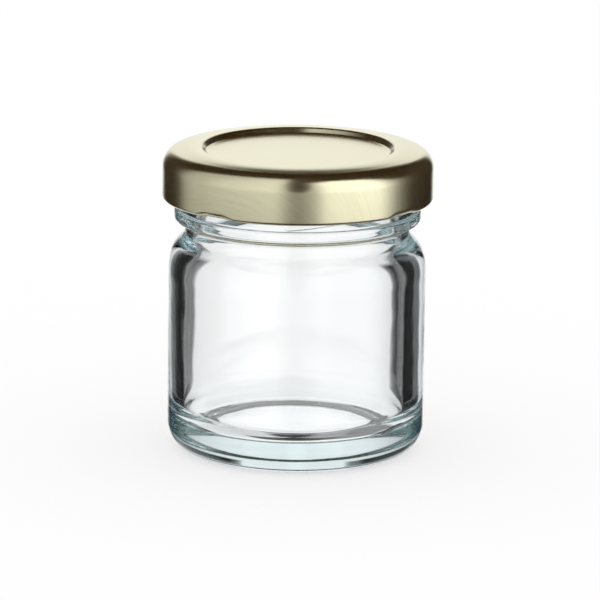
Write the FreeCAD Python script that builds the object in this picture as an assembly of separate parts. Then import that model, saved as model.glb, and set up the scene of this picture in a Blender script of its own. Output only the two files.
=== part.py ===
"""A small clear glass jam jar with a twist-off lug lid.

The jar is one revolved glass body with four interrupted thread ramps on its finish. The lid is one piece of
thin sheet: a recessed panel, a raised outer ring, a plain skirt and a rolled bottom curl that is pressed
inwards into four lugs. A ring of sealing compound under the lid sits on the glass rim.

Frame: millimetres, +Z up, origin on the jar's axis at the plane that it stands on, -Y towards the front.
"""

import FreeCAD, Part
import math
import os
from FreeCAD import Vector

# ---- Driving dimensions, millimetres and degrees ----------------------------------------------------------

# Glass body, measured from the plane that the jar stands on.
body_radius = 21.95
body_wall = 2.75
bearing_radius = 17.65
bearing_width = 1.0
heel_height = 4.65
push_up = 1.1
push_up_flat_radius = 12.5
floor_height = 4.7
floor_crown = 0.1
inner_corner_width = 4.6
inner_corner_height = 4.2
shoulder_start = 31.2
neck_radius = 19.3
neck_height = 38.1

# Glass finish: the bead under the lid, the wall that carries the threads, and the rim.
bead_radius = 21.0
bead_underside = 39.6
bead_foot_round = 0.8
bead_height = 41.35
bead_top = 41.85
finish_radius = 20.3
bore_radius = 17.3
rim_height = 51.2
rim_outer_round = 1.5
rim_inner_round = 1.1

# Thread ramps: each rises to the right, from its low end by the bead to its high end.
ramp_count = 4
ramp_low_azimuth = -100.0
ramp_sweep = 70.0
ramp_rise = 3.1
ramp_crest = 1.1
ramp_height = 1.7
ramp_edge_round = 0.45
ramp_root_depth = 0.3
ramp_tip_angle = 14.0
ramp_tip_share = 0.4

# Lid: outside sizes of the sheet, whose thickness lies inside them.
lid_radius = 23.0
lid_top = 52.3
lid_bottom = 43.4
sheet = 0.22
panel_radius = 15.6
panel_drop = 1.25
step_width = 0.9
top_ring_fall = 0.55
lid_corner_round = 3.0
step_foot_round = 0.55
step_crest_round = 0.7
skirt_joint = 46.2

# Bottom curl of the lid, and the lugs pressed from it, one under each thread ramp near its high end.
curl_radius = 0.58
lug_reach = 2.25
lug_thickness = 0.62
lug_lift = 0.12
lug_dent_height = 1.25
lug_along_ramp = 62.0
lug_half_angle = 11.5
lug_flat_angle = 4.0
lug_clearance = 0.04

# Sealing compound between the lid and the rim.
seal_inner_radius = 17.1
seal_outer_radius = 20.6
seal_grip = 0.25

# ---- Derived places ----------------------------------------------------------------------------------------

# The lugs lie just under the ramps' flat undersides, so the ramps' height follows from the lugs.
lug_top = lid_bottom + lug_lift + lug_thickness
ramp_over_lug = (lug_along_ramp - lug_flat_angle) / ramp_sweep
ramp_low_height = lug_top + lug_clearance - ramp_rise * ramp_over_lug
lug_first_azimuth = ramp_low_azimuth + lug_along_ramp - 360.0 / ramp_count

# ---- Shared helpers ----------------------------------------------------------------------------------------

AXIS = Vector(0, 0, 1)
ORIGIN = Vector(0, 0, 0)
SAME = 1e-6


def at(radius, height):
    """A point of an outline, in the half-plane through the jar's axis."""
    return Vector(radius, 0, height)


def line(start, end):
    return Part.makeLine(start, end)


def quarter_round(start, corner, end):
    """A quarter of a circle or an ellipse that is tangent at its ends to the two sides of the corner."""
    if abs(start.distanceToPoint(corner) - end.distanceToPoint(corner)) < SAME:
        nearest = corner + (start + end - corner * 2.0) * (1.0 - math.sqrt(0.5))
        return Part.Arc(start, nearest, end).toShape()
    curve = Part.BezierCurve()
    curve.setPoles([start, corner, end])
    curve.setWeight(2, math.sqrt(0.5))
    return curve.toShape()


def ogee(start, end, start_pull, end_pull):
    """An S-curve that leaves and arrives upright. The pulls are the heights of its two control points."""
    curve = Part.BezierCurve()
    curve.setPoles([start, at(start.x, start_pull), at(end.x, end_pull), end])
    return curve.toShape()


def crown(start, end):
    """A shallow curve that is level at both ends."""
    middle = 0.5 * (start.x + end.x)
    curve = Part.BezierCurve()
    curve.setPoles([start, at(middle, start.z), at(middle, end.z), end])
    return curve.toShape()


def revolved(edges, sweep=360.0):
    """The solid of revolution of a closed outline about the jar's axis."""
    face = Part.Face(Part.Wire(edges))
    return face.revolve(ORIGIN, AXIS, sweep)


def turned(shape, azimuth):
    copy = shape.copy()
    copy.rotate(ORIGIN, AXIS, azimuth)
    return copy


def turned_point(point, azimuth):
    return FreeCAD.Rotation(AXIS, azimuth).multVec(point)


def ring_of(shape, first_azimuth):
    """The shape repeated round the axis, once for each thread ramp and its lug."""
    pitch = 360.0 / ramp_count
    return [turned(shape, first_azimuth + pitch * step) for step in range(ramp_count)]


def outline_face(outline):
    """The flat face inside a closed outline of straight lines (two points) and quarter rounds (three)."""
    edges = [line(*part) if len(part) == 2 else quarter_round(*part) for part in outline]
    return Part.Face(Part.Wire(edges))


def swept_patch(first, last, first_azimuth, last_azimuth, rise):
    """The surface that one part of an outline sweeps about the axis while it changes and climbs.

    It leaves and arrives square to the radius, and is round wherever the radius doesn't change. rise is the
    climb in millimetres per degree.
    """
    turn = math.radians(last_azimuth - first_azimuth)
    handle = 4.0 / 3.0 * math.tan(0.25 * turn)
    lift = Vector(0, 0, rise * math.degrees(turn) / 3.0)
    rows = []
    for start, end in zip(first, last):
        begin = turned_point(start, first_azimuth)
        finish = turned_point(end, last_azimuth)
        leave = turned_point(Vector(0, start.x * handle, 0), first_azimuth) + lift
        arrive = turned_point(Vector(0, end.x * handle, 0), last_azimuth) + lift
        rows.append([begin, begin + leave, finish - arrive, finish])
    degree = len(rows) - 1
    middle_weight = math.sqrt(0.5) if degree == 2 else 1.0
    weights = [[1.0] * 4] + [[middle_weight] * 4] * (degree - 1) + [[1.0] * 4]
    surface = Part.BSplineSurface()
    surface.buildFromPolesMultsKnots(
        rows, [degree + 1] * 2, [4, 4], [0.0, 1.0], [0.0, 1.0], False, False, degree, 3, weights
    )
    return surface.toShape()


def swept_solid(stations, rise=0.0):
    """A closed solid through outlines at rising azimuths."""
    faces = []
    for (start_azimuth, start_outline), (end_azimuth, end_outline) in zip(stations, stations[1:]):
        for first, last in zip(start_outline, end_outline):
            faces.append(swept_patch(first, last, start_azimuth, end_azimuth, rise))
    for azimuth, outline in (stations[0], stations[-1]):
        faces.append(turned(outline_face(outline), azimuth))
    shell = Part.makeShell(faces)
    shell.sewShape()
    solid = Part.makeSolid(shell)
    return solid if solid.Volume > 0 else solid.reversed()


def fused(shapes):
    """One solid from shapes that touch or overlap."""
    whole = shapes[0].multiFuse(shapes[1:]).removeSplitter()
    return whole.Solids[0] if len(whole.Solids) == 1 else whole


# ---- Glass jar ---------------------------------------------------------------------------------------------


def glass_outside():
    """The outline from the middle of the push-up, over the flat bearing ring and the heel, to the rim's land."""
    ring_inner = bearing_radius - 0.5 * bearing_width
    ring_outer = bearing_radius + 0.5 * bearing_width
    lip_round = (bead_radius - finish_radius) - (bead_top - bead_height)
    bead_lip = finish_radius + lip_round
    wall_foot = bead_top + lip_round
    rim_outer = finish_radius - rim_outer_round
    edges = [line(at(0, push_up), at(push_up_flat_radius, push_up))]
    edges.append(crown(at(push_up_flat_radius, push_up), at(ring_inner, 0)))
    edges.append(line(at(ring_inner, 0), at(ring_outer, 0)))
    edges.append(quarter_round(at(ring_outer, 0), at(body_radius, 0), at(body_radius, heel_height)))
    edges.append(line(at(body_radius, heel_height), at(body_radius, shoulder_start)))
    shoulder_rise = neck_height - shoulder_start
    edges.append(
        ogee(
            at(body_radius, shoulder_start),
            at(neck_radius, neck_height),
            shoulder_start + 0.74 * shoulder_rise,
            shoulder_start + 0.68 * shoulder_rise,
        )
    )
    neck_top = at(neck_radius, bead_underside - bead_foot_round)
    foot_inner = at(neck_radius + bead_foot_round, bead_underside)
    foot_outer = at(bead_radius, bead_underside + bead_foot_round)
    edges.append(line(at(neck_radius, neck_height), neck_top))
    edges.append(quarter_round(neck_top, at(neck_radius, bead_underside), foot_inner))
    edges.append(quarter_round(foot_inner, at(bead_radius, bead_underside), foot_outer))
    edges.append(line(foot_outer, at(bead_radius, bead_height)))
    foot = at(finish_radius, wall_foot)
    edges.append(quarter_round(at(bead_radius, bead_height), at(bead_radius, bead_top), at(bead_lip, bead_top)))
    edges.append(quarter_round(at(bead_lip, bead_top), at(finish_radius, bead_top), foot))
    edges.append(line(foot, at(finish_radius, rim_height - rim_outer_round)))
    edges.append(
        quarter_round(
            at(finish_radius, rim_height - rim_outer_round),
            at(finish_radius, rim_height),
            at(rim_outer, rim_height),
        )
    )
    return edges


def glass_inside():
    """The outline from the rim's land, down the bore and the body, to the middle of the floor."""
    rim_outer = finish_radius - rim_outer_round
    rim_inner = bore_radius + rim_inner_round
    inner_radius = body_radius - body_wall
    bore_end = neck_height + 0.6 * body_wall
    inner_start = shoulder_start - 0.5 * body_wall
    drop = bore_end - inner_start
    corner_top = floor_height + inner_corner_height
    floor_edge = inner_radius - inner_corner_width
    return [
        line(at(rim_outer, rim_height), at(rim_inner, rim_height)),
        quarter_round(
            at(rim_inner, rim_height),
            at(bore_radius, rim_height),
            at(bore_radius, rim_height - rim_inner_round),
        ),
        line(at(bore_radius, rim_height - rim_inner_round), at(bore_radius, bore_end)),
        ogee(
            at(bore_radius, bore_end),
            at(inner_radius, inner_start),
            bore_end - 0.4 * drop,
            inner_start + 0.46 * drop,
        ),
        line(at(inner_radius, inner_start), at(inner_radius, corner_top)),
        quarter_round(at(inner_radius, corner_top), at(inner_radius, floor_height), at(floor_edge, floor_height)),
        crown(at(floor_edge, floor_height), at(0, floor_height + floor_crown)),
        line(at(0, floor_height + floor_crown), at(0, push_up)),
    ]


def ramp_outline(angle, fullness):
    """The section of a thread ramp, an angle along it: flat below, where a lug bears, and sloping above."""
    share = ramp_tip_share + (1.0 - ramp_tip_share) * fullness
    under = ramp_low_height + ramp_rise * angle / ramp_sweep
    top = under + ramp_height * share
    edge = ramp_edge_round * share
    root = finish_radius - ramp_root_depth
    faded_crest = root + 1.5 * edge
    crest = faded_crest + (finish_radius + ramp_crest - faded_crest) * fullness
    return [
        [at(root, under), at(crest - edge, under)],
        [at(crest - edge, under), at(crest, under), at(crest, under + edge)],
        [at(crest, under + edge), at(crest, top), at(root, top)],
        [at(root, top), at(root, under)],
    ]


def thread_ramp():
    """One raised ramp that a lug slides under: a short helix that fades out at both ends."""
    stations = []
    for angle, fullness in (
        (0.0, 0.0),
        (ramp_tip_angle, 1.0),
        (ramp_sweep - ramp_tip_angle, 1.0),
        (ramp_sweep, 0.0),
    ):
        stations.append((angle, ramp_outline(angle, fullness)))
    return swept_solid(stations, ramp_rise / ramp_sweep)


def make_glass_jar():
    body = revolved(glass_outside() + glass_inside())
    return fused([body] + ring_of(thread_ramp(), ramp_low_azimuth))


# ---- Lid ---------------------------------------------------------------------------------------------------


def lid_corners():
    """The sharp corners of the lid's outside, from the axis outwards, each with its rounding radius."""
    crest_radius = panel_radius + step_width
    panel_height = lid_top - panel_drop
    return [
        (at(0, panel_height), 0.0),
        (at(panel_radius, panel_height), step_foot_round),
        (at(crest_radius, lid_top), step_crest_round),
        (at(lid_radius, lid_top - top_ring_fall), lid_corner_round),
        (at(lid_radius, skirt_joint), 0.0),
    ]


def inset_corners(corners, thickness):
    """The corners moved square to the sheet by its thickness, with roundings that stay concentric."""
    points = [point for point, _ in corners]
    inset = []
    for index, (point, radius) in enumerate(corners):
        before = points[index] - points[index - 1] if index else points[1] - points[0]
        after = points[index + 1] - point if index + 1 < len(points) else before
        before = before.normalize()
        after = after.normalize()
        into_before = Vector(-before.z, 0, before.x).negative()
        into_after = Vector(-after.z, 0, after.x).negative()
        spread = 1.0 + into_before.dot(into_after)
        moved = point + (into_before + into_after) * (thickness / spread)
        turns_down = before.x * after.z - before.z * after.x < 0
        new_radius = radius - thickness if turns_down else radius + thickness
        inset.append((moved, new_radius if radius else 0.0))
    return inset


def rounded_outline(corners):
    """Straight edges joined by tangent arcs of the corners' radii."""
    edges = []
    last = corners[0][0]
    for index in range(1, len(corners) - 1):
        corner, radius = corners[index]
        back = (corners[index - 1][0] - corner).normalize()
        ahead = (corners[index + 1][0] - corner).normalize()
        half_angle = 0.5 * math.acos(back.dot(ahead))
        reach = radius / math.tan(half_angle)
        middle = (back + ahead).normalize()
        nearest = corner + middle * (radius / math.sin(half_angle) - radius)
        arc_start = corner + back * reach
        arc_end = corner + ahead * reach
        edges.append(line(last, arc_start))
        edges.append(Part.Arc(arc_start, nearest, arc_end).toShape())
        last = arc_end
    edges.append(line(last, corners[-1][0]))
    return edges


def lid_top_part():
    """The panel, its step, the raised ring, the round corner and the upper part of the skirt."""
    outside = lid_corners()
    inside = inset_corners(outside, sheet)
    edges = rounded_outline(outside)
    edges.append(line(outside[-1][0], inside[-1][0]))
    edges.extend(reversed(rounded_outline(inside)))
    edges.append(line(inside[0][0], outside[0][0]))
    return revolved(edges)


def skirt_outline(press):
    """The closed section of the lower skirt: down its outside, round the curl, and back up its inside.

    press is 0 for the round curl and 1 for a lug, where the curl is flattened and reaches further inwards.
    """
    width = curl_radius + press * (0.5 * lug_reach - curl_radius)
    dent = curl_radius + press * (lug_dent_height - curl_radius)
    half = curl_radius + press * (0.5 * lug_thickness - curl_radius)
    bottom = lid_bottom + press * lug_lift
    turn = lid_radius - width
    outer_foot = at(lid_radius, bottom + dent)
    inner_foot = at(lid_radius - sheet, bottom + dent)
    tip = turn - width
    return [
        [at(lid_radius, skirt_joint), outer_foot],
        [outer_foot, at(lid_radius, bottom), at(turn, bottom)],
        [at(turn, bottom), at(tip, bottom), at(tip, bottom + half)],
        [at(tip, bottom + half), at(tip, bottom + 2.0 * half), at(turn, bottom + 2.0 * half)],
        [at(turn, bottom + 2.0 * half), at(turn, bottom + 2.0 * half - sheet)],
        [
            at(turn, bottom + 2.0 * half - sheet),
            at(tip + sheet, bottom + 2.0 * half - sheet),
            at(tip + sheet, bottom + half),
        ],
        [at(tip + sheet, bottom + half), at(tip + sheet, bottom + sheet), at(turn, bottom + sheet)],
        [at(turn, bottom + sheet), at(lid_radius - sheet, bottom + sheet), inner_foot],
        [inner_foot, at(lid_radius - sheet, skirt_joint)],
        [at(lid_radius - sheet, skirt_joint), at(lid_radius, skirt_joint)],
    ]


def lug_piece():
    """The stretch of lower skirt round one lug, centred on azimuth 0: curl, lug, curl."""
    stations = []
    for azimuth, press in (
        (-lug_half_angle, 0.0),
        (-lug_flat_angle, 1.0),
        (lug_flat_angle, 1.0),
        (lug_half_angle, 0.0),
    ):
        stations.append((azimuth, skirt_outline(press)))
    return swept_solid(stations)


def plain_skirt_piece():
    """The stretch of lower skirt with a round curl, from one lug to the next."""
    face = turned(outline_face(skirt_outline(0.0)), lug_half_angle)
    return face.revolve(ORIGIN, AXIS, 360.0 / ramp_count - 2.0 * lug_half_angle)


def make_lid():
    pieces = [lid_top_part()]
    pieces += ring_of(lug_piece(), lug_first_azimuth)
    pieces += ring_of(plain_skirt_piece(), lug_first_azimuth)
    return fused(pieces)


# ---- Sealing compound --------------------------------------------------------------------------------------


def underside_height(radius):
    """Height of the raised ring's underside, where its sheet is straight."""
    inside = inset_corners(lid_corners(), sheet)
    start, end = inside[2][0], inside[3][0]
    share = (radius - start.x) / (end.x - start.x)
    return start.z + share * (end.z - start.z)


def make_seal_ring(glass, lid):
    """A ring under the lid's raised ring, shaped by the lid above it and by the rim pressed into it."""
    low = rim_height - seal_grip
    corners = [
        at(seal_inner_radius, underside_height(seal_inner_radius)),
        at(seal_outer_radius, underside_height(seal_outer_radius)),
        at(seal_outer_radius, low),
        at(seal_inner_radius, low),
    ]
    edges = [line(corners[index - 1], corners[index]) for index in range(4)]
    pressed = revolved(edges).cut(glass).cut(lid)
    return max(pressed.Solids, key=lambda solid: solid.Volume)


# ---- Build -------------------------------------------------------------------------------------------------


def main():
    os.makedirs("parts", exist_ok=True)
    glass = make_glass_jar()
    lid = make_lid()
    shapes = {"glass_jar": glass, "lid": lid, "seal_ring": make_seal_ring(glass, lid)}
    for name, shape in shapes.items():
        shape.exportStep(os.path.join("parts", name + ".step"))
        print(name, shape.ShapeType, "valid", shape.isValid(), "volume mm3", round(shape.Volume, 1))


main()
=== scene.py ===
"""A small clear glass jam jar with a gold twist-off lid, dressed on its CAD frame.

The jar and the lid are each one turned form: a tree of Geometry Nodes turns their section about the jar's
axis, adds what varies round it (the thread ramps, the uneven inner wall, the pressed lugs) and closes the
mesh.

Everything is in metres in the frame's own coordinates: +Z up, the jar's axis at the origin, -Y to the front.
"""

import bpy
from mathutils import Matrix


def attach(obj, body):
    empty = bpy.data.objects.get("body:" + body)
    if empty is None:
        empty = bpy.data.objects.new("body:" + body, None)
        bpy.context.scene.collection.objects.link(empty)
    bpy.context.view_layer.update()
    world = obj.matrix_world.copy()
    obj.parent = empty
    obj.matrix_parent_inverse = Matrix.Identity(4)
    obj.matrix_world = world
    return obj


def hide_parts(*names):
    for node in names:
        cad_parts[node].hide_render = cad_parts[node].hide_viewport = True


bl_info = {
    "name": "Jam Jar",
    "version": (1, 0, 0),
    "blender": (4, 5, 0),
    "location": "3D View > Sidebar > Jam Jar",
    "description": "Builds a small glass jam jar with its twist-off lid, in a plain studio",
    "category": "Add Mesh",
}

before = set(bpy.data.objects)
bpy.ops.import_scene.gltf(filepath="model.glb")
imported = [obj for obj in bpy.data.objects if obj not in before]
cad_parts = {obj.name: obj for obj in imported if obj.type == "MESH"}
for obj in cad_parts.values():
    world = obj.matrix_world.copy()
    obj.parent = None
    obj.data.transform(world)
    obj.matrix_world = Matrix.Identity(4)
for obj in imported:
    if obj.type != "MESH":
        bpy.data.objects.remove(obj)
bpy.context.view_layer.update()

import math

import bmesh
import bpy
from bpy.props import FloatProperty, FloatVectorProperty, IntProperty, PointerProperty
from mathutils import Matrix, Vector

MM = 0.001
FULL_TURN = 360.0

# ---- Settings ----------------------------------------------------------------------------------------------


def length(name, millimetres, description):
    """A length setting, given in millimetres and kept in metres."""
    return FloatProperty(
        name=name,
        description=description,
        default=millimetres * MM,
        precision=5,
        subtype="DISTANCE",
        unit="LENGTH",
    )


def angle(name, degrees, description):
    return FloatProperty(
        name=name, description=description, default=math.radians(degrees), subtype="ANGLE", unit="ROTATION"
    )


def share(name, value, description, most=1.0):
    return FloatProperty(name=name, description=description, default=value, min=0.0, max=most, precision=3)


def colour(name, value, description):
    return FloatVectorProperty(
        name=name, description=description, default=value, size=3, min=0.0, max=1.0, subtype="COLOR"
    )


class GlassSettings(bpy.types.PropertyGroup):
    """Sizes of the jar's section, and how its glass varies."""

    body_radius: length("Body radius", 21.95, "Outside radius of the body")
    body_wall: length("Body wall", 3.1, "Thickness of the body's wall")
    bearing_radius: length("Bearing radius", 17.65, "Middle radius of the flat ring that the jar stands on")
    bearing_width: length("Bearing width", 1.0, "Width of the flat ring that the jar stands on")
    heel_height: length("Heel height", 4.65, "Height of the rounding from the bearing ring to the body")
    push_up: length("Push-up", 1.1, "Rise of the underside inside the bearing ring")
    push_up_flat_radius: length("Push-up flat radius", 12.5, "Radius of the flat middle of the underside")
    floor_height: length("Floor height", 4.7, "Height of the inner floor at its edge")
    floor_crown: length("Floor crown", 0.1, "Rise of the inner floor towards its middle")
    inner_corner_width: length("Inner corner width", 4.6, "Reach of the inner corner across the floor")
    inner_corner_height: length("Inner corner height", 4.2, "Reach of the inner corner up the wall")
    shoulder_start: length("Shoulder start", 31.2, "Height at which the body turns into the shoulder")
    neck_radius: length("Neck radius", 19.3, "Radius of the narrowest place under the bead")
    neck_height: length("Neck height", 38.1, "Height of the narrowest place under the bead")
    bead_radius: length("Bead radius", 21.0, "Radius of the bead under the lid")
    bead_underside: length("Bead underside", 39.6, "Height of the bead's underside")
    bead_foot_round: length("Bead foot round", 0.8, "Rounding at the bead's foot and of its lower edge")
    bead_height: length("Bead height", 41.35, "Height of the upper end of the bead's side")
    bead_top: length("Bead top", 41.85, "Height of the bead's top")
    finish_radius: length("Finish radius", 20.3, "Radius of the wall that carries the thread ramps")
    bore_radius: length("Bore radius", 17.3, "Radius of the mouth")
    rim_height: length("Rim height", 51.2, "Height of the rim")
    rim_outer_round: length("Rim outer round", 1.5, "Rounding of the rim's outer edge")
    rim_inner_round: length("Rim inner round", 1.1, "Rounding of the rim's inner edge")
    ramp_count: IntProperty(name="Ramps", description="Number of thread ramps", default=4, min=1, max=12)
    ramp_low_height: length("Ramp low height", 41.61, "Height of a thread ramp's underside at its low end")
    ramp_rise: length("Ramp rise", 3.1, "Climb of a thread ramp")
    ramp_crest: length("Ramp crest", 1.1, "How far a thread ramp stands out")
    ramp_height: length("Ramp height", 1.7, "Height of a thread ramp's section")
    ramp_edge_round: length("Ramp edge round", 0.35, "Rounding of a thread ramp's edge")
    ramp_root_depth: length("Ramp root depth", 0.3, "How deep a thread ramp is rooted in the wall")
    ramp_low_azimuth: angle("Ramp low azimuth", -100.0, "Where the front thread ramp starts")
    ramp_sweep: angle("Ramp sweep", 70.0, "Angle that a thread ramp covers")
    ramp_tip: angle("Ramp tip", 14.0, "Angle over which a thread ramp fades out at each end")
    cavity_shift: length("Cavity shift", 0.26, "How far the inside lies off the jar's axis")
    wall_wave: length("Wall wave", 0.16, "Unevenness of the inner wall")
    wave_length: length("Wave length", 17.0, "Distance over which the inner wall rises and falls")
    segments: IntProperty(name="Segments", description="Faces round the jar", default=360, min=24, max=360)
    tint: colour("Tint", (0.25, 0.62, 0.68), "Colour that deep glass takes")
    tint_depth: share("Tint depth", 8.0, "Strength of the tint, per metre of glass", 100.0)
    refraction: share("Refractive index", 1.52, "Refractive index of the glass", 2.0)


class LidSettings(bpy.types.PropertyGroup):
    """Sizes of the lid's section and lugs, and its finish."""

    radius: length("Radius", 23.0, "Outside radius of the lid")
    top: length("Top", 52.3, "Height of the sharp edge that the raised ring is rounded from")
    bottom: length("Bottom", 43.4, "Height of the rolled edge's underside")
    sheet: length("Sheet", 0.22, "Thickness of the sheet")
    panel_radius: length("Panel radius", 15.6, "Radius of the recessed panel")
    panel_drop: length("Panel drop", 0.9, "Depth of the recessed panel")
    step_width: length("Step width", 0.9, "Width of the slope round the panel")
    top_ring_fall: length("Top ring fall", 0.66, "Fall of the raised ring towards its edge")
    ring_crown: length("Ring crown", 0.10, "How far the raised ring stands above its chord")
    corner_round: length("Corner round", 3.0, "Rounding between the raised ring and the skirt")
    step_foot_round: length("Step foot round", 0.55, "Rounding at the foot of the step")
    step_crest_round: length("Step crest round", 0.7, "Rounding at the crest of the step")
    skirt_joint: length("Skirt joint", 46.2, "Height above which the skirt is plain")
    curl_radius: length("Curl radius", 0.58, "Radius of the rolled edge")
    lug_reach: length("Lug reach", 2.25, "How far a lug reaches inwards")
    lug_thickness: length("Lug thickness", 0.62, "Thickness of a flattened lug")
    lug_lift: length("Lug lift", 0.12, "How far a lug lies above the rolled edge's underside")
    lug_dent_height: length("Lug dent height", 1.25, "Height of the dent that a lug leaves in the skirt")
    lug_count: IntProperty(name="Lugs", description="Number of lugs", default=4, min=1, max=12)
    lug_azimuth: angle("Lug azimuth", -128.0, "Where the first lug lies")
    lug_half_angle: angle("Lug half angle", 11.5, "Half the angle that a lug and its dent cover")
    lug_flat_angle: angle("Lug flat angle", 4.0, "Half the angle over which a lug is fully pressed")
    segments: IntProperty(name="Segments", description="Faces round the lid", default=360, min=24, max=720)
    lacquer: colour("Lacquer", (0.875, 0.845, 0.60), "Colour of the lacquered metal's reflections")
    body_lacquer: colour("Deep lacquer", (0.36, 0.18, 0.025), "Colour of the lacquer in the dark parts")
    lacquer_share: share("Lacquer share", 0.10, "How much of the lacquer's own colour shows")
    roughness: share("Roughness", 0.2, "Roughness of the satin finish")
    grain_angle: angle("Grain angle", -35.0, "Direction in which the sheet was rolled")


class SealSettings(bpy.types.PropertyGroup):
    """Finish of the sealing compound."""

    compound: colour("Compound", (0.80, 0.77, 0.69), "Colour of the sealing compound")


class StudioSettings(bpy.types.PropertyGroup):
    """Camera and light."""

    distance: length("Camera distance", 888.0, "Distance from the camera to the middle of the jar")
    elevation: angle("Camera elevation", 13.3, "Height of the camera above the horizon")
    roll: angle("Camera roll", 0.65, "Turn of the camera about its own axis")
    lens: FloatProperty(name="Lens", description="Focal length in millimetres", default=312.0)
    aim_right: length("Aim right", 0.58, "How far to the right of the jar's axis the camera aims")
    aim_height: length("Aim height", 25.5, "Height that the camera aims at")
    floor_size: length("Floor size", 6000.0, "Length of the floor's sides")
    floor_shade: share("Floor shade", 0.33, "Share of the floor's white that takes the object's shadow")
    tent_radius: length("Tent radius", 1800.0, "Radius of the light tent round the jar")


SETTINGS = {
    "jam_jar_glass": GlassSettings,
    "jam_jar_lid": LidSettings,
    "jam_jar_seal": SealSettings,
    "jam_jar_studio": StudioSettings,
}

# ---- Node trees --------------------------------------------------------------------------------------------


class Value:
    """A number or vector in a node tree; arithmetic on it adds Math nodes."""

    def __init__(self, nodes, socket):
        self.nodes = nodes
        self.socket = socket

    def __add__(self, other):
        return self.nodes.math("ADD", self, other)

    def __radd__(self, other):
        return self.nodes.math("ADD", other, self)

    def __sub__(self, other):
        return self.nodes.math("SUBTRACT", self, other)

    def __rsub__(self, other):
        return self.nodes.math("SUBTRACT", other, self)

    def __mul__(self, other):
        return self.nodes.math("MULTIPLY", self, other)

    def __rmul__(self, other):
        return self.nodes.math("MULTIPLY", other, self)

    def __truediv__(self, other):
        return self.nodes.math("DIVIDE", self, other)

    def __rtruediv__(self, other):
        return self.nodes.math("DIVIDE", other, self)


# The Mix node has its own sockets for each kind of data: here its two ends, and its result.
MIX_COLOURS, MIXED_COLOUR = (6, 7), 2
MIX_VECTORS, MIXED_VECTOR = (4, 5), 1


class Nodes:
    """Adds nodes to one tree."""

    def __init__(self, tree):
        self.tree = tree

    def add(self, kind, settings=None, sockets=None):
        """A node of a kind, with its settings first and then the values or links of its input sockets."""
        node = self.tree.nodes.new(kind)
        for name, value in (settings or {}).items():
            if name == "stops":
                self.set_stops(node.color_ramp, value)
            else:
                setattr(node, name, value)
        for key, value in (sockets or {}).items():
            if isinstance(value, Value):
                value = value.socket
            if isinstance(value, bpy.types.NodeSocket):
                self.tree.links.new(value, node.inputs[key])
            else:
                node.inputs[key].default_value = value
        return node

    def set_stops(self, ramp, stops):
        """Sets a ramp's stops from pairs of position and grey level."""
        while len(ramp.elements) > 1:
            ramp.elements.remove(ramp.elements[-1])
        for index, (position, level) in enumerate(stops):
            stop = ramp.elements[0] if index == 0 else ramp.elements.new(position)
            stop.position = position
            stop.color = (level, level, level, 1.0)

    def value(self, kind, settings=None, sockets=None, output=0):
        """One output of a new node, as a value."""
        return Value(self, self.add(kind, settings, sockets).outputs[output])

    def math(self, operation, *values):
        return self.value("ShaderNodeMath", {"operation": operation}, dict(enumerate(values)))

    def vector_math(self, operation, *values):
        return self.value("ShaderNodeVectorMath", {"operation": operation}, dict(enumerate(values)))

    def vector(self, x, y, z):
        return self.value("ShaderNodeCombineXYZ", sockets={0: x, 1: y, 2: z})

    def parts(self, vector):
        """The three parts of a vector."""
        node = self.add("ShaderNodeSeparateXYZ", sockets={0: vector})
        return [Value(self, socket) for socket in node.outputs]

    def smooth_step(self, value, low, high):
        """0 where the value is low and 1 where it is high, with a smooth change between."""
        return self.value(
            "ShaderNodeMapRange",
            {"interpolation_type": "SMOOTHSTEP"},
            {0: value, 1: low, 2: high, 3: 0.0, 4: 1.0},
        )

    def noise(self, coordinates, scale, detail=2.0, roughness=0.5):
        """Noise about 0.5; the seed is the coordinates' own offset, so it never changes."""
        return self.value(
            "ShaderNodeTexNoise",
            {"noise_dimensions": "3D"},
            {"Vector": coordinates, "Scale": scale, "Detail": detail, "Roughness": roughness},
        )

    def mix_colour(self, factor, first, second):
        """A colour between two, each a red, green and blue."""
        ends = {socket: (*value, 1.0) for socket, value in zip(MIX_COLOURS, (first, second))}
        return self.value("ShaderNodeMix", {"data_type": "RGBA"}, {0: factor, **ends}, MIXED_COLOUR)


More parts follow.
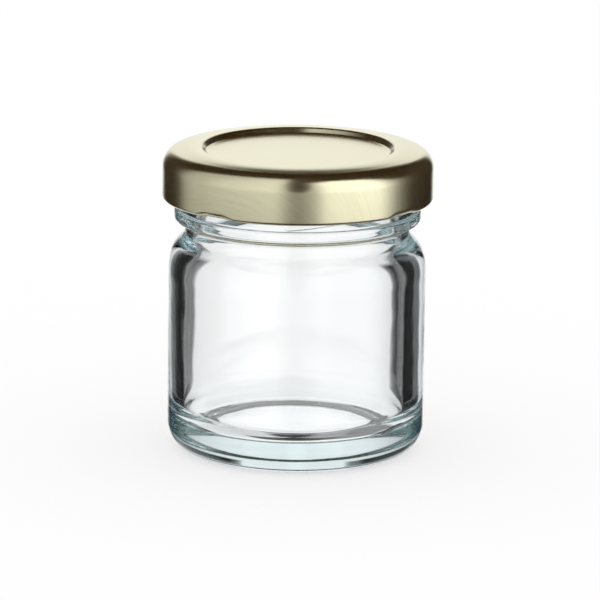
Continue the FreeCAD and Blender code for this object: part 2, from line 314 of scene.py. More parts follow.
class FormTree(Nodes):
    """A tree of Geometry Nodes with named inputs, which ends in one closed mesh of one material."""

    def __init__(self, name):
        super().__init__(bpy.data.node_groups.new(name, "GeometryNodeTree"))
        self.tree.is_modifier = True
        self.tree.interface.new_socket("Geometry", in_out="OUTPUT", socket_type="NodeSocketGeometry")
        self.inputs = self.tree.nodes.new("NodeGroupInput")
        self.outline = self.input("Outline", "NodeSocketGeometry")

    def input(self, name, kind="NodeSocketFloat"):
        self.tree.interface.new_socket(name, in_out="INPUT", socket_type=kind)
        return Value(self, self.inputs.outputs[name])

    def attribute(self, name, data_type):
        return self.value("GeometryNodeInputNamedAttribute", {"data_type": data_type}, {"Name": name})

    def turned_grid(self):
        """A grid with one column for each step round the axis and one row for each point of the outline.

        Returns the grid, the azimuth of a grid point in radians, and a function that reads the outline there.
        """
        segments = self.input("Segments", "NodeSocketInt")
        rows = self.value("GeometryNodeAttributeDomainSize", sockets={0: self.outline})
        grid = self.value("GeometryNodeMeshGrid", sockets={0: 1.0, 1: 1.0, 2: segments + 1.0, 3: rows})
        across, along, _ = self.parts(self.value("GeometryNodeInputPosition"))
        azimuth = (across + 0.5) * (2.0 * math.pi)
        row = self.math("ROUND", (along + 0.5) * (rows - 1.0))

        def read(field, data_type):
            return self.value(
                "GeometryNodeSampleIndex", {"data_type": data_type}, {0: self.outline, 1: field, 2: row}
            )

        return grid, azimuth, read

    def finish(self, grid, azimuth, radius, height):
        """Places the grid's points round the axis, closes its seam and poles, and gives it its material."""
        cosine, sine = self.math("COSINE", azimuth), self.math("SINE", azimuth)
        place = self.vector(radius * cosine, radius * sine, height)
        turned = self.value("GeometryNodeSetPosition", sockets={"Geometry": grid, "Position": place})
        closed = self.value("GeometryNodeMergeByDistance", sockets={"Geometry": turned, "Distance": 1e-6})
        smooth = self.value("GeometryNodeSetShadeSmooth", sockets={"Geometry": closed})
        whole = self.value("GeometryNodeRealizeInstances", sockets={"Geometry": smooth})
        material = self.input("Material", "NodeSocketMaterial")
        dressed = self.value("GeometryNodeSetMaterial", sockets={"Geometry": whole, "Material": material})
        self.add("NodeGroupOutput", sockets={0: dressed})


# A ramp's section where it fades out, as a share of its full height, and the round where it meets the wall.
RAMP_TIP_SHARE = 0.4
RAMP_FOOT_ROUND = 0.2 * MM

# The inner wall's waves: their rate up the jar to that round it, their place in the noise, and how many more
# of the short waves there are to a long one, and how deep they are beside it.
WAVE_UPRIGHT_SHARE = 0.7
WAVE_SEED = 3.7
SHORT_WAVE_RATE = 3.1
SHORT_WAVE_SHARE = 0.22


def glass_form():
    """The tree that turns the jar's section, and adds its thread ramps and the uneven inner wall."""
    form = FormTree("Turned glass")
    grid, azimuth, read = form.turned_grid()
    sizes = {
        name: form.input(name)
        for name in (
            "Ramp count",
            "Ramp low azimuth",
            "Ramp sweep",
            "Ramp tip",
            "Ramp low height",
            "Ramp rise",
            "Ramp height",
            "Ramp root",
            "Ramp crest",
            "Ramp edge",
            "Wave size",
            "Wave length",
            "Cavity shift",
        )
    }
    radius, _, height = form.parts(read(form.value("GeometryNodeInputPosition"), "FLOAT_VECTOR"))
    thread = read(form.attribute("thread", "FLOAT"), "FLOAT")
    wave = read(form.attribute("wave", "FLOAT"), "FLOAT")

    # How far along its ramp each point lies, and how full the ramp is there.
    pitch = 2.0 * math.pi / sizes["Ramp count"]
    along = form.math("FLOORED_MODULO", azimuth - sizes["Ramp low azimuth"], pitch)
    past = sizes["Ramp sweep"] - along
    tip = sizes["Ramp tip"]
    fullness = form.smooth_step(along, 0.0, tip) * form.smooth_step(past, 0.0, tip)
    section_share = RAMP_TIP_SHARE + (1.0 - RAMP_TIP_SHARE) * fullness
    under = sizes["Ramp low height"] + sizes["Ramp rise"] * along / sizes["Ramp sweep"]
    section_height = sizes["Ramp height"] * section_share
    edge = sizes["Ramp edge"] * section_share

    # The section: a steep underside, a round edge, and a back that falls to the wall like a quarter ellipse.
    flank = form.smooth_step(height, under, under + edge)
    back = form.math("MAXIMUM", (height - under - edge) / (section_height - edge), 0.0)
    fall = form.math("SQRT", form.math("MAXIMUM", 1.0 - back * back, 0.0))
    crest = sizes["Ramp crest"] * fullness * flank * fall
    ramp_radius = sizes["Ramp root"] + crest
    with_ramp = form.math("SMOOTH_MAX", radius, ramp_radius, RAMP_FOOT_ROUND)
    outer = radius + (with_ramp - radius) * thread

    # The inner wall: long soft waves, and a cavity that lies slightly off the axis.
    ripple_place = form.vector(
        radius * form.math("COSINE", azimuth) / sizes["Wave length"],
        radius * form.math("SINE", azimuth) / sizes["Wave length"],
        height / sizes["Wave length"] * WAVE_UPRIGHT_SHARE + WAVE_SEED,
    )
    long_wave = form.noise(ripple_place, scale=1.0, detail=0.0) - 0.5
    short_wave = form.noise(ripple_place, scale=SHORT_WAVE_RATE, detail=0.0) - 0.5
    shift = sizes["Cavity shift"] * form.math("COSINE", azimuth)
    uneven = outer + wave * (sizes["Wave size"] * (long_wave + SHORT_WAVE_SHARE * short_wave) - shift)
    form.finish(grid, azimuth, uneven, height)
    return form.tree


def lid_form():
    """The tree that turns the lid's section, and presses its lugs from the rolled edge."""
    form = FormTree("Turned lid")
    grid, azimuth, read = form.turned_grid()
    count = form.input("Lug count")
    first = form.input("Lug azimuth")
    half_angle = form.input("Lug half angle")
    flat_angle = form.input("Lug flat angle")
    plain = read(form.value("GeometryNodeInputPosition"), "FLOAT_VECTOR")
    pressed = read(form.attribute("pressed", "FLOAT_VECTOR"), "FLOAT_VECTOR")
    pitch = 2.0 * math.pi / count
    turn = form.math("FLOORED_MODULO", azimuth - first + 0.5 * pitch, pitch) - 0.5 * pitch
    press = 1.0 - form.smooth_step(form.math("ABSOLUTE", turn), flat_angle, half_angle)
    ends = dict(zip(MIX_VECTORS, (plain, pressed)))
    section = form.value("ShaderNodeMix", {"data_type": "VECTOR"}, {0: press, **ends}, MIXED_VECTOR)
    radius, _, height = form.parts(section)
    form.finish(grid, azimuth, radius, height)
    return form.tree


# ---- Sections ----------------------------------------------------------------------------------------------


class Section:
    """Points of a section, each a radius and a height, with the strength of its named marks there."""

    def __init__(self, radius, height):
        self.points = [Vector((radius, height))]
        self.marks = [{}]

    def run(self, place, steps, marks):
        """Adds points along place(0..1); each mark goes from its first value to its second on the way."""
        for step in range(1, steps + 1):
            part = step / steps
            self.points.append(place(part))
            self.marks.append({name: start + (end - start) * part for name, (start, end) in marks.items()})

    def line(self, radius, height, steps, **marks):
        start, end = self.points[-1].copy(), Vector((radius, height))
        self.run(lambda part: start.lerp(end, part), steps, marks)

    def quarter(self, corner, end, steps, **marks):
        """A quarter of a circle or ellipse, tangent to the two sides of the corner."""
        start, corner, end = self.points[-1].copy(), Vector(corner), Vector(end)
        centre = start + end - corner

        def place(part):
            turn = 0.5 * math.pi * part
            return centre + (end - centre) * math.sin(turn) + (start - centre) * math.cos(turn)

        self.run(place, steps, marks)

    def curve(self, pulls, end, steps, **marks):
        """A cubic curve with two control points."""
        start, end = self.points[-1].copy(), Vector(end)
        first, second = (Vector(pull) for pull in pulls)

        def place(part):
            rest = 1.0 - part
            return (
                start * rest**3 + first * (3.0 * rest * rest * part) + second * (3.0 * rest * part * part)
                + end * part**3
            )

        self.run(place, steps, marks)

    def rounded(self, corner, radius, beyond, steps):
        """A straight run towards the corner, and a round of the given radius that leads on towards beyond."""
        start, corner, beyond = self.points[-1].copy(), Vector(corner), Vector(beyond)
        back, ahead = (start - corner).normalized(), (beyond - corner).normalized()
        half = 0.5 * back.angle(ahead)
        reach = radius / math.tan(half)
        first, last = corner + back * reach, corner + ahead * reach
        centre = corner + (back + ahead).normalized() * (radius / math.sin(half))
        self.line(first.x, first.y, steps)
        turn = math.pi - 2.0 * half
        spoke, side = first - centre, -back * radius

        def place(part):
            return centre + spoke * math.cos(turn * part) + side * math.sin(turn * part)

        self.run(place, steps, {})
        self.points[-1] = last

    def mesh(self, name, mark_names):
        """The section as a mesh of points in the plane through the axis, with its marks as attributes."""
        data = bpy.data.meshes.new(name)
        data.from_pydata([(max(point.x, 0.0), 0.0, point.y) for point in self.points], [], [])
        for mark in mark_names:
            layer = data.attributes.new(mark, "FLOAT", "POINT")
            for index, marks in enumerate(self.marks):
                layer.data[index].value = marks.get(mark, 0.0)
        return data


# The S-curves of the shoulder and of its inside: where their two control points lie, as shares of the curve's
# height. The inside's ends lie below and above the outside's by these shares of the wall's thickness.
SHOULDER_PULLS = (0.74, 0.68)
INSIDE_PULLS = (0.4, 0.46)
INSIDE_BELOW = 0.5
INSIDE_ABOVE = 0.6


def glass_section(glass):
    """The jar's section, from the middle of the push-up round outside and inside to the floor's middle."""
    ring_inner = glass.bearing_radius - 0.5 * glass.bearing_width
    ring_outer = glass.bearing_radius + 0.5 * glass.bearing_width
    section = Section(0.0, glass.push_up)
    section.line(glass.push_up_flat_radius, glass.push_up, steps=6)
    half_way = 0.5 * (glass.push_up_flat_radius + ring_inner)
    section.curve([(half_way, glass.push_up), (half_way, 0.0)], (ring_inner, 0.0), steps=12)
    section.line(ring_outer, 0.0, steps=2)
    section.quarter((glass.body_radius, 0.0), (glass.body_radius, glass.heel_height), steps=22)
    section.line(glass.body_radius, glass.shoulder_start, steps=10)
    shoulder_rise = glass.neck_height - glass.shoulder_start
    section.curve(
        [
            (glass.body_radius, glass.shoulder_start + SHOULDER_PULLS[0] * shoulder_rise),
            (glass.neck_radius, glass.shoulder_start + SHOULDER_PULLS[1] * shoulder_rise),
        ],
        (glass.neck_radius, glass.neck_height),
        steps=26,
    )
    underside, foot = glass.bead_underside, glass.bead_foot_round
    section.line(glass.neck_radius, underside - foot, steps=2)
    section.quarter((glass.neck_radius, underside), (glass.neck_radius + foot, underside), steps=6)
    section.quarter((glass.bead_radius, underside), (glass.bead_radius, underside + foot), steps=8)
    section.line(glass.bead_radius, glass.bead_height, steps=3)
    lip_round = (glass.bead_radius - glass.finish_radius) - (glass.bead_top - glass.bead_height)
    bead_lip = glass.finish_radius + lip_round
    wall_foot = glass.bead_top + lip_round
    threaded = (1.0, 1.0)
    section.quarter((glass.bead_radius, glass.bead_top), (bead_lip, glass.bead_top), steps=6, thread=threaded)
    section.quarter(
        (glass.finish_radius, glass.bead_top), (glass.finish_radius, wall_foot), steps=4, thread=threaded
    )
    thread_top = glass.ramp_low_height + glass.ramp_rise + glass.ramp_height
    section.line(glass.finish_radius, thread_top, steps=45, thread=threaded)
    section.line(glass.finish_radius, glass.rim_height - glass.rim_outer_round, steps=3)
    rim_outer = glass.finish_radius - glass.rim_outer_round
    section.quarter((glass.finish_radius, glass.rim_height), (rim_outer, glass.rim_height), steps=8)
    rim_inner = glass.bore_radius + glass.rim_inner_round
    section.line(rim_inner, glass.rim_height, steps=1)
    bore_top = glass.rim_height - glass.rim_inner_round
    section.quarter((glass.bore_radius, glass.rim_height), (glass.bore_radius, bore_top), steps=6)
    inner_radius = glass.body_radius - glass.body_wall
    bore_end = glass.neck_height + INSIDE_ABOVE * glass.body_wall
    inner_start = glass.shoulder_start - INSIDE_BELOW * glass.body_wall
    drop = bore_end - inner_start
    section.line(glass.bore_radius, bore_end, steps=3)
    section.curve(
        [
            (glass.bore_radius, bore_end - INSIDE_PULLS[0] * drop),
            (inner_radius, inner_start + INSIDE_PULLS[1] * drop),
        ],
        (inner_radius, inner_start),
        steps=26,
        wave=(0.0, 1.0),
    )
    section.line(inner_radius, glass.floor_height + glass.inner_corner_height, steps=24, wave=(1.0, 1.0))
    floor_edge = inner_radius - glass.inner_corner_width
    section.quarter(
        (inner_radius, glass.floor_height), (floor_edge, glass.floor_height), steps=22, wave=(1.0, 0.6)
    )
    middle = glass.floor_height + glass.floor_crown
    half_floor = 0.5 * floor_edge
    section.curve(
        [(half_floor, glass.floor_height), (half_floor, middle)], (0.0, middle), steps=16, wave=(0.6, 0.0)
    )
    return section


def lid_outside(lid, press):
    """The outer face of the lid's sheet, from the axis to its end inside the curl; press is 1 at a lug."""
    panel_height = lid.top - lid.panel_drop
    crest_radius = lid.panel_radius + lid.step_width
    ring_edge = (lid.radius, lid.top - lid.top_ring_fall)
    section = Section(0.0, panel_height)
    section.rounded((lid.panel_radius, panel_height), lid.step_foot_round, (crest_radius, lid.top), steps=8)
    section.rounded((crest_radius, lid.top), lid.step_crest_round, ring_edge, steps=8)

    # The raised ring is crowned: level at its crest, and twice as steep as its chord where the corner starts.
    ring_steps = 16
    crest, first = section.points[-1].copy(), len(section.points)
    section.rounded(ring_edge, lid.corner_round, (lid.radius, lid.skirt_joint), steps=ring_steps)
    last = first + ring_steps - 1
    for point in section.points[first:last]:
        part = (point.x - crest.x) / (section.points[last].x - crest.x)
        point.y += lid.ring_crown * 4.0 * part * (1.0 - part)
    section.line(lid.radius, lid.skirt_joint, steps=5)

    width = lid.curl_radius + press * (0.5 * lid.lug_reach - lid.curl_radius)
    dent = lid.curl_radius + press * (lid.lug_dent_height - lid.curl_radius)
    half = lid.curl_radius + press * (0.5 * lid.lug_thickness - lid.curl_radius)
    bottom = lid.bottom + press * lid.lug_lift
    turn = lid.radius - width
    tip = turn - width
    section.line(lid.radius, bottom + dent, steps=8)
    section.quarter((lid.radius, bottom), (turn, bottom), steps=8)
    section.quarter((tip, bottom), (tip, bottom + half), steps=7)
    section.quarter((tip, bottom + 2.0 * half), (turn, bottom + 2.0 * half), steps=7)
    return section


def lid_section(lid, press):
    """The closed section of the lid's sheet, from its underside at the axis to its panel at the axis."""
    outer = lid_outside(lid, press).points
    inner = []
    for index, point in enumerate(outer):
        before = outer[max(index - 1, 0)]
        after = outer[min(index + 1, len(outer) - 1)]
        along = (after - before).normalized()
        inner.append(point + Vector((along.y, -along.x)) * lid.sheet)
    section = Section(0.0, 0.0)
    section.points = inner + outer[::-1]
    section.marks = [{} for _ in section.points]
    return section


# ---- Materials ---------------------------------------------------------------------------------------------


def new_material(name):
    """A material with an empty tree, and the nodes object and output node that fill it."""
    material = bpy.data.materials.new(name)
    material.use_nodes = True
    material.node_tree.nodes.clear()
    return material, Nodes(material.node_tree)


def object_place(nodes):
    """Object coordinates, in metres."""
    return nodes.value("ShaderNodeTexCoord", output="Object")


# Strength of the glass's chill marks, everywhere and in addition at the foot, and the heights between which
# the foot's fade out.
CHILL_EVERYWHERE = 0.05
CHILL_AT_FOOT = 0.12
CHILL_FADE = (2.0 * MM, 7.0 * MM)


def clear_glass(glass):
    """Clear pressed glass: smooth, faintly uneven, with a blue-green depth."""
    material, nodes = new_material("pressed_clear_glass")
    place = object_place(nodes)
    soft = nodes.noise(place, scale=160.0, detail=1.0)
    chill = nodes.noise(place, scale=900.0, detail=2.0)
    _, _, height = nodes.parts(place)
    at_foot = 1.0 - nodes.smooth_step(height, *CHILL_FADE)
    relief = soft + chill * (CHILL_EVERYWHERE + CHILL_AT_FOOT * at_foot)
    bump = nodes.value(
        "ShaderNodeBump", sockets={"Strength": 0.12, "Distance": 0.2 * MM, "Height": relief}
    )
    surface = nodes.value(
        "ShaderNodeBsdfPrincipled",
        sockets={
            "Base Color": (1.0, 1.0, 1.0, 1.0),
            "Roughness": 0.0,
            "IOR": glass.refraction,
            "Transmission Weight": 1.0,
            "Normal": bump,
        },
    )
    depth = nodes.value(
        "ShaderNodeVolumeAbsorption", sockets={"Color": (*glass.tint, 1.0), "Density": glass.tint_depth}
    )
    nodes.add("ShaderNodeOutputMaterial", sockets={"Surface": surface, "Volume": depth})
    return material


# The lid's tone runs from 0, deep, to 1, pale: its level at the skirt's foot, where shade is painted in,
# what the skirt above adds as that painted shade fades upwards, and how strongly each end shades the
# lacquer's reflections, or the lacquer itself.
TONE_IN_PAINTED_SHADE = 0.3
TONE_ABOVE_PAINTED_SHADE = 0.6
TONE_OF_LINES = 1.1
TONE_OF_CLOUDS = 0.3
METAL_SHADES = (0.82, 1.02)
LACQUER_SHADES = (0.8, 1.0)
ROUGHNESS_OF_LINES = 0.16
ROUGHNESS_OF_CLOUDS = 0.04


def lacquered_tinplate(lid):
    """Satin gold lacquer on rolled sheet, whose grain follows the sheet over the lid's corner."""
    material, nodes = new_material("satin_gold_lacquer")
    x, y, z = nodes.parts(object_place(nodes))

    # The place of each point on the flat sheet that the lid was drawn from.
    never_zero = 1e-12
    radius = nodes.math("SQRT", x * x + y * y + never_zero)
    flat = (radius + (lid.top - z)) / radius
    cosine, sine = math.cos(lid.grain_angle), math.sin(lid.grain_angle)
    along = (x * cosine + y * sine) * flat
    across = (y * cosine - x * sine) * flat

    def rolled(along_rate, across_rate, seed, detail=2.0, roughness=0.5):
        """Noise with its own rate along and across the direction in which the sheet was rolled."""
        place = nodes.vector(along * along_rate, across * across_rate, seed)
        return nodes.noise(place, 1.0, detail, roughness)

    grain = rolled(260.0, 5200.0, seed=0.5, detail=3.0, roughness=0.6)
    streak = rolled(60.0, 1500.0, seed=7.5)
    cloud = rolled(90.0, 140.0, seed=2.5) - 0.5
    lines = 0.6 * grain + 0.4 * streak - 0.5

    # Streaks and clouds in its tone, and painted shade that darkens the skirt towards its rolled edge.
    above_painted_shade = nodes.smooth_step(z, lid.bottom, lid.top - lid.corner_round)
    tone = TONE_IN_PAINTED_SHADE + lines * TONE_OF_LINES + above_painted_shade * TONE_ABOVE_PAINTED_SHADE + cloud * TONE_OF_CLOUDS

    def toned(base, shades):
        """The base colour from its deep shade to its pale one, by the tone."""
        deep, pale = (tuple(min(1.0, part * shade) for part in base) for shade in shades)
        return nodes.mix_colour(tone, deep, pale)

    bump = nodes.value("ShaderNodeBump", sockets={"Strength": 0.2, "Distance": 0.02 * MM, "Height": lines})
    metal = nodes.value(
        "ShaderNodeBsdfPrincipled",
        sockets={
            "Base Color": toned(lid.lacquer, METAL_SHADES),
            "Metallic": 1.0,
            "Roughness": lid.roughness + lines * ROUGHNESS_OF_LINES + cloud * ROUGHNESS_OF_CLOUDS,
            "Normal": bump,
        },
    )
    lacquer = nodes.value(
        "ShaderNodeBsdfPrincipled",
        sockets={
            "Base Color": toned(lid.body_lacquer, LACQUER_SHADES),
            "Roughness": 0.5,
            "Specular IOR Level": 0.2,
        },
    )
    surface = nodes.value("ShaderNodeMixShader", sockets={0: lid.lacquer_share, 1: metal, 2: lacquer})
    nodes.add("ShaderNodeOutputMaterial", sockets={"Surface": surface})
    return material


def sealing_compound(seal):
    """Matt, slightly mottled sealing compound."""
    material, nodes = new_material("matt_sealing_compound")
    place = object_place(nodes)
    mottle = nodes.noise(place, scale=700.0, detail=3.0)
    pores = nodes.noise(place, scale=4200.0, detail=1.0)
    dull = tuple(part * 0.86 for part in seal.compound)
    relief = mottle * 0.6 + pores * 0.4
    bump = nodes.value("ShaderNodeBump", sockets={"Strength": 0.3, "Distance": 0.05 * MM, "Height": relief})
    surface = nodes.value(
        "ShaderNodeBsdfPrincipled",
        sockets={
            "Base Color": nodes.mix_colour(mottle, dull, tuple(seal.compound)),
            "Roughness": 0.55 + mottle * 0.25,
            "Normal": bump,
        },
    )
    nodes.add("ShaderNodeOutputMaterial", sockets={"Surface": surface})
    return material


# The tent by direction: each table has pairs of an azimuth, in degrees from straight behind the jar and
# positive to the right, and a light, or for an edge its elevation. Between the ceiling and the floor stand
# the walls: white behind the jar, dark flags beside it with light above them, and soft panels in front.
TENT_WALLS = (
    (-180.0, 0.27),
    (-174.0, 0.30),
    (-168.0, 0.52),
    (-161.0, 0.76),
    (-150.0, 0.71),
    (-126.0, 0.62),
    (-97.0, 0.54),
    (-80.0, 0.50),
    (-69.0, 0.36),
    (-60.0, 0.06),
    (-50.0, 0.01),
    (-23.5, 0.02),
    (-21.5, 0.18),
    (-17.5, 0.24),
    (-15.5, 1.0),
    (-4.5, 1.0),
    (-2.0, 1.08),
    (1.0, 1.08),
    (3.5, 1.0),
    (17.5, 1.0),
    (18.5, 0.20),
    (20.5, 0.12),
    (22.0, 0.01),
    (66.0, 0.02),
    (78.0, 0.10),
    (86.0, 0.26),
    (95.0, 0.66),
    (106.0, 1.2),
    (156.0, 1.05),
    (163.0, 0.56),
    (171.0, 0.36),
    (177.0, 0.28),
)
TENT_CEILING_EDGE = (
    (-180.0, -6.0),
    (-173.0, 4.0),
    (-166.0, 66.0),
    (-150.0, 82.0),
    (-124.0, 84.0),
    (-91.0, 74.0),
    (-77.0, 58.0),
    (-60.0, 32.0),
    (-30.0, 31.0),
    (0.0, 28.0),
    (30.0, 31.0),
    (60.0, 32.0),
    (76.0, 20.0),
    (90.0, 25.0),
    (103.0, 54.0),
    (132.0, 66.0),
    (165.0, 56.0),
    (173.0, 2.0),
    (180.0, -6.0),
)
TENT_OVER_FLAGS = ((-76.0, 0.0), (-62.0, 0.55), (-20.0, 0.95), (20.0, 0.95), (62.0, 0.55), (76.0, 0.0))
TENT_FLOOR_EDGE = (
    (-180.0, -28.0),
    (-72.0, -34.0),
    (-60.0, -42.0),
    (-40.0, -28.0),
    (-28.0, -24.0),
    (28.0, -24.0),
    (40.0, -28.0),
    (60.0, -42.0),
    (72.0, -34.0),
    (180.0, -28.0),
)
TENT_FLOOR = (
    (-76.0, 0.03),
    (-62.0, 0.70),
    (-30.0, 0.80),
    (-20.0, 1.0),
    (24.0, 1.0),
    (32.0, 0.25),
    (62.0, 0.25),
    (76.0, 0.03),
)
TENT_UNDER = (
    (-180.0, 0.05),
    (-110.0, 0.05),
    (-90.0, 0.70),
    (-55.0, 0.70),
    (-40.0, 0.05),
    (40.0, 0.05),
    (60.0, 0.35),
    (100.0, 0.35),
    (120.0, 0.05),
    (180.0, 0.05),
)
TENT_CEILING = 0.0

# Elevations between which one part of the tent passes into the next, in degrees, the edges' about the edge.
OVER_FLAGS_FADE = (9.0, 14.0)
UNDER_FADE = (-64.0, -58.0)
CEILING_FADE = (-3.5, 3.5)
FLOOR_FADE = (-3.0, 3.0)

# The panels in front are brighter towards their tops, by this share.
PANEL_TOP_FADE = (-14.0, 2.0)
PANEL_TOP_GAIN = 0.25
PANEL_SIDE_FADE = (0.0, 0.4)

DEEP_GLASS_BOUNCES = 40


def tent_light():
    """The light tent's own light, by azimuth and elevation."""
    material, nodes = new_material("light_tent")
    direction = nodes.vector_math("NORMALIZE", object_place(nodes))
    x, y, z = nodes.parts(direction)
    turn = nodes.math("ARCTAN2", x, y) / (2.0 * math.pi) + 0.5
    elevation = nodes.math("ARCSINE", z) * (180.0 / math.pi)

    def around(stops):
        """The value of a table at the direction's azimuth."""
        least = min(value for _, value in stops)
        span = max(value for _, value in stops) - least
        ramp = [(azimuth / FULL_TURN + 0.5, (value - least) / span) for azimuth, value in stops]
        return nodes.value("ShaderNodeValToRGB", {"stops": ramp}, {0: turn}) * span + least

    # Only clear glass sees the light above the flags; in the lid they reach up to the ceiling.
    through_glass = nodes.value("ShaderNodeLightPath", output="Is Transmission Ray")
    walls, floor, under = around(TENT_WALLS), around(TENT_FLOOR), around(TENT_UNDER)
    over_flags = nodes.math("MAXIMUM", walls, around(TENT_OVER_FLAGS)) - walls
    walls = walls + over_flags * nodes.smooth_step(elevation, *OVER_FLAGS_FADE) * through_glass
    above = nodes.smooth_step(elevation - around(TENT_CEILING_EDGE), *CEILING_FADE)
    on_walls = nodes.smooth_step(elevation - around(TENT_FLOOR_EDGE), *FLOOR_FADE)
    on_floor = nodes.smooth_step(elevation, *UNDER_FADE)
    lower = under + (floor - under) * on_floor
    in_front = nodes.smooth_step(0.0 - y, *PANEL_SIDE_FADE)
    panel_top = nodes.smooth_step(elevation, *PANEL_TOP_FADE) * in_front
    light = lower + (walls * (1.0 + panel_top * PANEL_TOP_GAIN) - lower) * on_walls
    light = light + (TENT_CEILING - light) * above
    glow = nodes.value("ShaderNodeEmission", sockets={"Color": (1.0, 1.0, 1.0, 1.0), "Strength": light})
    nodes.add("ShaderNodeOutputMaterial", sockets={"Surface": glow})
    material.cycles.emission_sampling = "NONE"
    return material


def floor_white(shade):
    """A white floor: part of its white takes shadow, and the rest is only seen, not cast."""
    material, nodes = new_material("white_floor")
    seen = 0.0
    for kind in ("Camera", "Glossy", "Transmission"):
        of_kind = nodes.value("ShaderNodeLightPath", output="Is %s Ray" % kind)
        seen = nodes.math("MAXIMUM", seen, of_kind)
    matt = nodes.value("ShaderNodeBsdfDiffuse", sockets={"Color": (shade, shade, shade, 1.0)})
    glow = nodes.value(
        "ShaderNodeEmission", sockets={"Color": (1.0, 1.0, 1.0, 1.0), "Strength": seen * (1.0 - shade)}
    )
    both = nodes.value("ShaderNodeAddShader", sockets={0: matt, 1: glow})
    nodes.add("ShaderNodeOutputMaterial", sockets={"Surface": both})
    return material


# ---- Pieces ------------------------------------------------------------------------------------------------


def new_object(name, data):
    piece = bpy.data.objects.new(name, data)
    bpy.context.scene.collection.objects.link(piece)
    return piece


def bake(piece, tree, inputs):
    """Runs a form's tree on the piece and keeps the result as the piece's own plain mesh."""
    modifier = piece.modifiers.new("form", "NODES")
    modifier.node_group = tree
    identifiers = {item.name: item.identifier for item in tree.interface.items_tree if item.in_out == "INPUT"}
    for name, value in inputs.items():
        modifier[identifiers[name]] = value
    graph = bpy.context.evaluated_depsgraph_get()
    mesh = bpy.data.meshes.new_from_object(piece.evaluated_get(graph))
    piece.modifiers.remove(modifier)
    outline = piece.data
    piece.data = mesh
    bpy.data.meshes.remove(outline)
    mesh.name = piece.name


class JAMJAR_OT_glass(bpy.types.Operator):
    """Make the glass jar with its thread ramps"""

    bl_idname = "jam_jar.glass"
    bl_label = "Glass Jar"

    def execute(self, context):
        glass = context.scene.jam_jar_glass
        section = glass_section(glass)
        piece = new_object("jar_glass", section.mesh("jar_section", ("thread", "wave")))
        bake(
            piece,
            glass_form(),
            {
                "Segments": glass.segments,
                "Ramp count": float(glass.ramp_count),
                "Ramp low azimuth": glass.ramp_low_azimuth,
                "Ramp sweep": glass.ramp_sweep,
                "Ramp tip": glass.ramp_tip,
                "Ramp low height": glass.ramp_low_height,
                "Ramp rise": glass.ramp_rise,
                "Ramp height": glass.ramp_height,
                "Ramp root": glass.finish_radius - glass.ramp_root_depth,
                "Ramp crest": glass.ramp_crest + glass.ramp_root_depth,
                "Ramp edge": glass.ramp_edge_round,
                "Wave size": glass.wall_wave,
                "Wave length": glass.wave_length,
                "Cavity shift": glass.cavity_shift,
                "Material": clear_glass(glass),
            },
        )
        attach(piece, "root")
        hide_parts("glass_jar")
        return {"FINISHED"}


class JAMJAR_OT_lid(bpy.types.Operator):
    """Make the twist-off lid with its pressed lugs"""

    bl_idname = "jam_jar.lid"
    bl_label = "Lid"

    def execute(self, context):
        lid = context.scene.jam_jar_lid
        outline = lid_section(lid, 0.0).mesh("lid_section", ())
        pressed = outline.attributes.new("pressed", "FLOAT_VECTOR", "POINT")
        for index, point in enumerate(lid_section(lid, 1.0).points):
            pressed.data[index].vector = (max(point.x, 0.0), 0.0, point.y)
        piece = new_object("lid_tinplate", outline)
        bake(
            piece,
            lid_form(),
            {
                "Segments": lid.segments,
                "Lug count": float(lid.lug_count),
                "Lug azimuth": lid.lug_azimuth,
                "Lug half angle": lid.lug_half_angle,
                "Lug flat angle": lid.lug_flat_angle,
                "Material": lacquered_tinplate(lid),
            },
        )
        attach(piece, "root")
        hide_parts("lid")
        return {"FINISHED"}


class JAMJAR_OT_seal(bpy.types.Operator):
    """Give the seal ring its finish"""

    bl_idname = "jam_jar.seal"
    bl_label = "Seal Ring"

    def execute(self, context):
        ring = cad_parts["seal_ring"]
        finish = sealing_compound(context.scene.jam_jar_seal)
        for slot in ring.material_slots:
            slot.material = finish
        return {"FINISHED"}


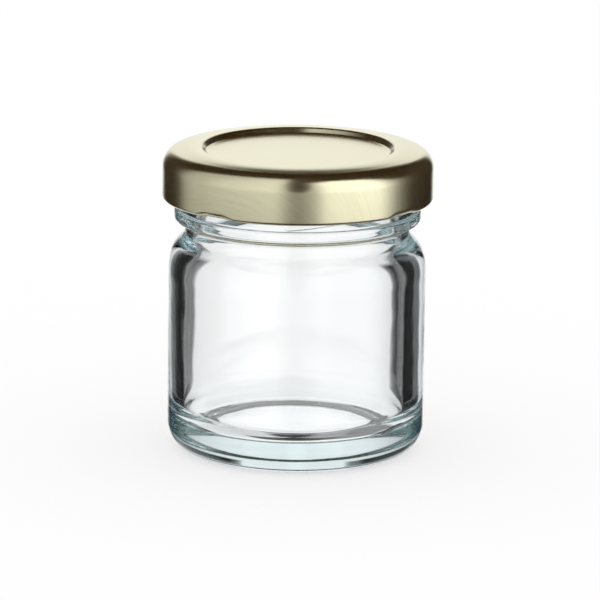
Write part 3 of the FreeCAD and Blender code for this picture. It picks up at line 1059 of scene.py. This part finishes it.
class JAMJAR_OT_stage(bpy.types.Operator):
    """Set up the floor, the light and the camera"""

    bl_idname = "jam_jar.stage"
    bl_label = "Studio"

    def execute(self, context):
        studio = context.scene.jam_jar_studio
        camera = self.make_camera(context, studio)
        self.make_floor(studio)
        self.make_tent(studio, camera)
        self.make_world(context)
        return {"FINISHED"}

    def make_camera(self, context, studio):
        data = bpy.data.cameras.new("camera")
        data.lens = studio.lens
        camera = new_object("camera", data)
        back = Vector((0.0, -math.cos(studio.elevation), math.sin(studio.elevation)))
        right = Vector((1.0, 0.0, 0.0))
        up = back.cross(right)
        tilt = Matrix.Rotation(studio.roll, 3, "Z")
        turn = Matrix((right, up, back)).transposed() @ tilt
        aim = Vector((0.0, 0.0, studio.aim_height)) + right * studio.aim_right
        camera.matrix_world = Matrix.LocRotScale(aim + back * studio.distance, turn, None)
        context.scene.camera = camera
        return camera

    def make_floor(self, studio):
        shape = bmesh.new()
        bmesh.ops.create_grid(shape, x_segments=8, y_segments=8, size=0.5 * studio.floor_size)
        data = bpy.data.meshes.new("floor")
        shape.to_mesh(data)
        shape.free()
        data.materials.append(floor_white(studio.floor_shade))
        floor = new_object("floor", data)
        floor.visible_glossy = False
        floor.visible_transmission = False

    def make_tent(self, studio, camera):
        """A light tent that only polished and clear surfaces see; it turns with the camera's azimuth."""
        shape = bmesh.new()
        bmesh.ops.create_uvsphere(shape, u_segments=64, v_segments=32, radius=studio.tent_radius)
        bmesh.ops.reverse_faces(shape, faces=shape.faces)
        data = bpy.data.meshes.new("light_tent")
        shape.to_mesh(data)
        shape.free()
        data.materials.append(tent_light())
        tent = new_object("light_tent", data)
        tent.visible_camera = False
        tent.visible_diffuse = False
        tent.visible_shadow = False
        follow = tent.constraints.new("COPY_ROTATION")
        follow.target = camera
        follow.use_x = False
        follow.use_y = False

    def make_world(self, context):
        world = bpy.data.worlds.new("studio")
        world.use_nodes = True
        world.node_tree.nodes.clear()
        nodes = Nodes(world.node_tree)
        light = nodes.value("ShaderNodeBackground", sockets={"Color": (1.0, 1.0, 1.0, 1.0), "Strength": 1.0})
        nodes.add("ShaderNodeOutputWorld", sockets={"Surface": light})
        context.scene.world = world
        context.scene.view_settings.view_transform = "Standard"
        context.scene.cycles.max_bounces = DEEP_GLASS_BOUNCES
        context.scene.cycles.transmission_bounces = DEEP_GLASS_BOUNCES
        context.scene.cycles.glossy_bounces = DEEP_GLASS_BOUNCES


class JAMJAR_PT_sidebar(bpy.types.Panel):
    """Lists the jar's pieces and their settings"""

    bl_label = "Jam Jar"
    bl_idname = "JAMJAR_PT_sidebar"
    bl_space_type = "VIEW_3D"
    bl_region_type = "UI"
    bl_category = "Jam Jar"

    def draw(self, context):
        for operator, settings in zip(OPERATORS, SETTINGS):
            box = self.layout.box()
            box.operator(operator.bl_idname)
            group = getattr(context.scene, settings)
            for name in group.__annotations__:
                box.prop(group, name)


OPERATORS = (JAMJAR_OT_glass, JAMJAR_OT_lid, JAMJAR_OT_seal, JAMJAR_OT_stage)


def register():
    for settings in SETTINGS.values():
        bpy.utils.register_class(settings)
    for name, settings in SETTINGS.items():
        setattr(bpy.types.Scene, name, PointerProperty(type=settings))
    for operator in OPERATORS:
        bpy.utils.register_class(operator)
    bpy.utils.register_class(JAMJAR_PT_sidebar)


def unregister():
    bpy.utils.unregister_class(JAMJAR_PT_sidebar)
    for operator in reversed(OPERATORS):
        bpy.utils.unregister_class(operator)
    for name, settings in SETTINGS.items():
        delattr(bpy.types.Scene, name)
        bpy.utils.unregister_class(settings)


def main():
    register()
    bpy.ops.jam_jar.stage()
    bpy.ops.jam_jar.glass()
    bpy.ops.jam_jar.lid()
    bpy.ops.jam_jar.seal()


if __name__ == "__main__":
    main()
